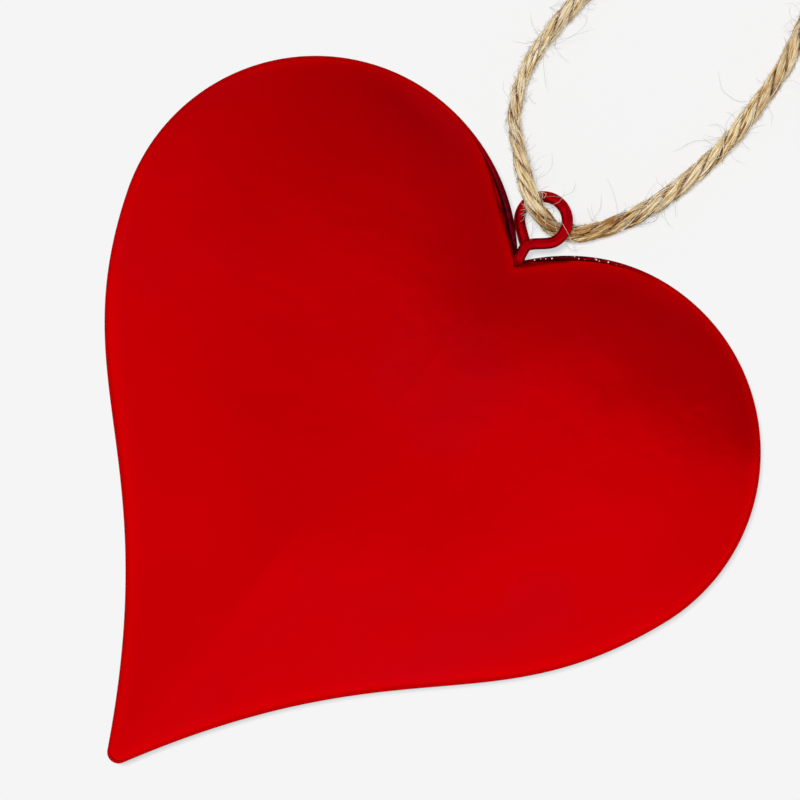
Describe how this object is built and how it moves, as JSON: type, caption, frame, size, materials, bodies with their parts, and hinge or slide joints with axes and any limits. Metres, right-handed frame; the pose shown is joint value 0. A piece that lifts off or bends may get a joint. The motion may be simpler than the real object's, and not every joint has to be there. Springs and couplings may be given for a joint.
{
  "type": "hanging tin heart ornament",
  "caption": "Puffed heart of two pressed tin shells, soldered round the rim, with a wire eye in the cleft and a knotted loop of jute twine.",
  "frame": {"origin": "under the middle of the heart, on the surface that it lies on", "axes": "+X across the heart to the right lobe seen from the face, +Y from the tip to the cleft, +Z out of the face; the heart lies on its back"},
  "size_m": [0.1256, 0.2342, 0.0123],
  "materials": {
    "red_tin": "glossy translucent red lacquer over tin",
    "red_seam": "lacquered solder, filed and slightly rough",
    "red_wire": "glossy red lacquer",
    "jute": "raw three-ply jute twine with stray fibres"
  },
  "bodies": {
    "heart": {"front_shell": "red_tin", "rear_shell": "red_tin", "edge_seam": "red_seam", "hanger_eye": "red_wire", "cleft_solder": "red_seam"},
    "twine": {"twine_loop": "jute", "twine_knot": "jute", "twine_ends": "jute"}
  },
  "joints": [
    {"name": "twine_swing", "type": "hinge", "parent": "heart", "child": "twine", "pos_m": [-0.0003, 0.0583, 0.0055], "axis": [0, 0, 1], "range_deg": [-22, 13]}
  ]
}
